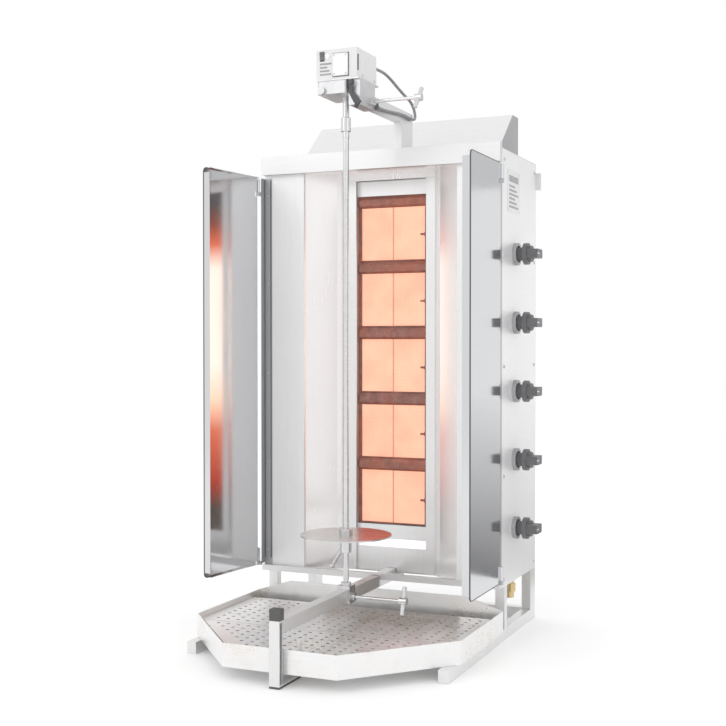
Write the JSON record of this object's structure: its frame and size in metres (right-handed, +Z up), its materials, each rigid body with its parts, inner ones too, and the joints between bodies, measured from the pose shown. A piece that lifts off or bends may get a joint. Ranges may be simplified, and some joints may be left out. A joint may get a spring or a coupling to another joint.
{
  "type": "vertical gas broiler",
  "caption": "Tall open-fronted gas broiler: a motor-driven upright spit in front of stacked radiant burners, with wing doors, side taps and a drip tray on a base frame.",
  "frame": {"origin": "bench level, middle of the width, in the plane of the fascia's front face", "axes": "+Z up, +Y towards the back of the unit, +X towards the side that carries the taps"},
  "size_m": [0.6657, 0.789, 1.263],
  "materials": {
    "casing_steel": "fine brushed stainless sheet",
    "polished_steel": "bright annealed stainless sheet",
    "door_steel": "stainless sheet brushed from side to side",
    "frame_steel": "satin stainless tube",
    "tray_steel": "stainless sheet, lightly greased",
    "spit_steel": "ground stainless rod",
    "burner_steel": "heat-stained dark steel",
    "ceramic": "porous glowing ceramic plaque",
    "brass": "machined brass",
    "black_plastic": "fine-textured black plastic",
    "bezel_metal": "dull pressed metal",
    "black_steel": "black-coated steel",
    "black_rubber": "moulded rubber",
    "cable_rubber": "smooth cable sheath",
    "motor_paint": "cast and machined housing",
    "cover_paint": "pale smooth coating",
    "white_plate": "pale glossy plastic",
    "lamp_lens": "clear pale lens",
    "plate_aluminium": "printed foil plate without wording"
  },
  "bodies": {
    "casing": {"base_frame": "frame_steel", "centre_beam": "frame_steel", "front_post": "frame_steel", "post_rubbers": "black_rubber", "side_panel_left": "casing_steel", "side_panel_right": "casing_steel", "rear_panel": "casing_steel", "roof_panel": "casing_steel", "floor_panel": "casing_steel", "fascia": "casing_steel", "front_strip_left": "casing_steel", "front_strip_right": "casing_steel", "bottom_rail": "casing_steel", "reflector_left": "polished_steel", "reflector_right": "polished_steel", "cavity_ceiling": "polished_steel", "burner_surround": "polished_steel", "burner_1": "burner_steel", "burner_2": "burner_steel", "burner_3": "burner_steel", "burner_4": "burner_steel", "burner_5": "burner_steel", "ceramic_tiles": "ceramic", "flame_probes": "burner_steel", "gas_manifold": "brass", "gas_taps": "brass", "knob_bezels": "bezel_metal", "deflector": "casing_steel", "data_plate": "plate_aluminium", "column_arm": "frame_steel", "hinge_angles": "black_steel"},
    "motor_carriage": {"carriage": "motor_paint", "motor_cover": "cover_paint", "gear_motor": "motor_paint", "pilot_lamp": "lamp_lens", "control_cover": "white_plate", "motor_lead": "cable_rubber", "lead_glands": "black_plastic"},
    "spindle": {"motor_shaft": "spit_steel", "spit_rod": "spit_steel"},
    "sleeve": {"coupling_sleeve": "spit_steel"},
    "disc": {"meat_disc": "spit_steel"},
    "disc_collar": {"disc_clamp": "spit_steel"},
    "foot_carriage": {"lower_carriage": "spit_steel"},
    "foot_screw": {"lower_clamp": "spit_steel"},
    "foot_bar": {"lower_bar": "spit_steel"},
    "arm_screw": {"top_clamp": "spit_steel"},
    "arm_bar": {"top_bar": "spit_steel"},
    "rocker": {"rocker_switch": "black_plastic"},
    "catch_lever": {"release_lever": "black_steel"},
    "left_door": {"door_left": "door_steel"},
    "right_door": {"door_right": "door_steel"},
    "tray": {"drip_tray": "tray_steel"},
    "rear_insert": {"insert_rear": "tray_steel"},
    "front_insert": {"insert_front": "tray_steel"},
    "tap_1": {"knob_1": "black_plastic"},
    "tap_2": {"knob_2": "black_plastic"},
    "tap_3": {"knob_3": "black_plastic"},
    "tap_4": {"knob_4": "black_plastic"},
    "tap_5": {"knob_5": "black_plastic"}
  },
  "joints": [
    {"name": "carriage_slide", "type": "slide", "parent": "casing", "child": "motor_carriage", "axis": [0, 1, 0], "range_m": [0, 0.04]},
    {"name": "foot_slide", "type": "slide", "parent": "casing", "child": "foot_carriage", "axis": [0, 1, 0], "range_m": [0, 0.04]},
    {"name": "spit_turn", "type": "hinge", "parent": "motor_carriage", "child": "spindle", "pos_m": [0, -0.162, 1.15], "axis": [0, 0, 1], "continuous": true},
    {"name": "sleeve_lift", "type": "slide", "parent": "spindle", "child": "sleeve", "axis": [0, 0, 1], "range_m": [0, 0.03]},
    {"name": "disc_slide", "type": "slide", "parent": "spindle", "child": "disc", "axis": [0, 0, 1], "range_m": [-0.015, 0.7]},
    {"name": "disc_lock", "type": "hinge", "parent": "disc", "child": "disc_collar", "pos_m": [0, -0.162, 0.215], "axis": [0, 0, 1], "range_deg": [0, 75]},
    {"name": "foot_screw_turn", "type": "hinge", "parent": "foot_carriage", "child": "foot_screw", "pos_m": [0, -0.162, 0.112], "axis": [1, 0, 0], "range_deg": [0, 270]},
    {"name": "foot_bar_slide", "type": "slide", "parent": "foot_screw", "child": "foot_bar", "axis": [0, 0.2924, 0.9563], "range_m": [-0.008, 0.008]},
    {"name": "arm_screw_turn", "type": "hinge", "parent": "motor_carriage", "child": "arm_screw", "pos_m": [0.05, -0.146, 1.161], "axis": [1, 0, 0], "range_deg": [0, 270]},
    {"name": "arm_bar_slide", "type": "slide", "parent": "arm_screw", "child": "arm_bar", "axis": [0, 0.6428, 0.766], "range_m": [-0.015, 0.015]},
    {"name": "rocker_tilt", "type": "hinge", "parent": "motor_carriage", "child": "rocker", "pos_m": [-0.0325, -0.206, 1.249], "axis": [1, 0, 0], "range_deg": [-12, 0]},
    {"name": "catch_swing", "type": "hinge", "parent": "motor_carriage", "child": "catch_lever", "pos_m": [0.034, -0.21, 1.19], "axis": [0, 1, 0], "range_deg": [-20, 20]},
    {"name": "left_door_swing", "type": "hinge", "parent": "casing", "child": "left_door", "pos_m": [-0.296, -0.006, 0.585], "axis": [0, 0, -1], "range_deg": [-85, 90]},
    {"name": "right_door_swing", "type": "hinge", "parent": "casing", "child": "right_door", "pos_m": [0.296, -0.006, 0.585], "axis": [0, 0, 1], "range_deg": [-85, 90]},
    {"name": "tray_pull", "type": "slide", "parent": "casing", "child": "tray", "axis": [-1, 0, 0], "range_m": [0, 0.62]},
    {"name": "rear_insert_lift", "type": "slide", "parent": "tray", "child": "rear_insert", "axis": [0, 0, 1], "range_m": [0, 0.02]},
    {"name": "front_insert_lift", "type": "slide", "parent": "tray", "child": "front_insert", "axis": [0, 0, 1], "range_m": [0, 0.02]},
    {"name": "tap_turn_1", "type": "hinge", "parent": "casing", "child": "tap_1", "pos_m": [0.29, 0.115, 0.2375], "axis": [1, 0, 0], "range_deg": [-90, 90]},
    {"name": "tap_turn_2", "type": "hinge", "parent": "casing", "child": "tap_2", "pos_m": [0.29, 0.115, 0.3905], "axis": [1, 0, 0], "range_deg": [-90, 90]},
    {"name": "tap_turn_3", "type": "hinge", "parent": "casing", "child": "tap_3", "pos_m": [0.29, 0.115, 0.5435], "axis": [1, 0, 0], "range_deg": [-90, 90]},
    {"name": "tap_turn_4", "type": "hinge", "parent": "casing", "child": "tap_4", "pos_m": [0.29, 0.115, 0.6965], "axis": [1, 0, 0], "range_deg": [-90, 90]},
    {"name": "tap_turn_5", "type": "hinge", "parent": "casing", "child": "tap_5", "pos_m": [0.29, 0.115, 0.8495], "axis": [1, 0, 0], "range_deg": [-90, 90]}
  ],
  "couplings": [
    {"joint": "foot_slide", "follows": "carriage_slide", "ratio": 1}
  ]
}
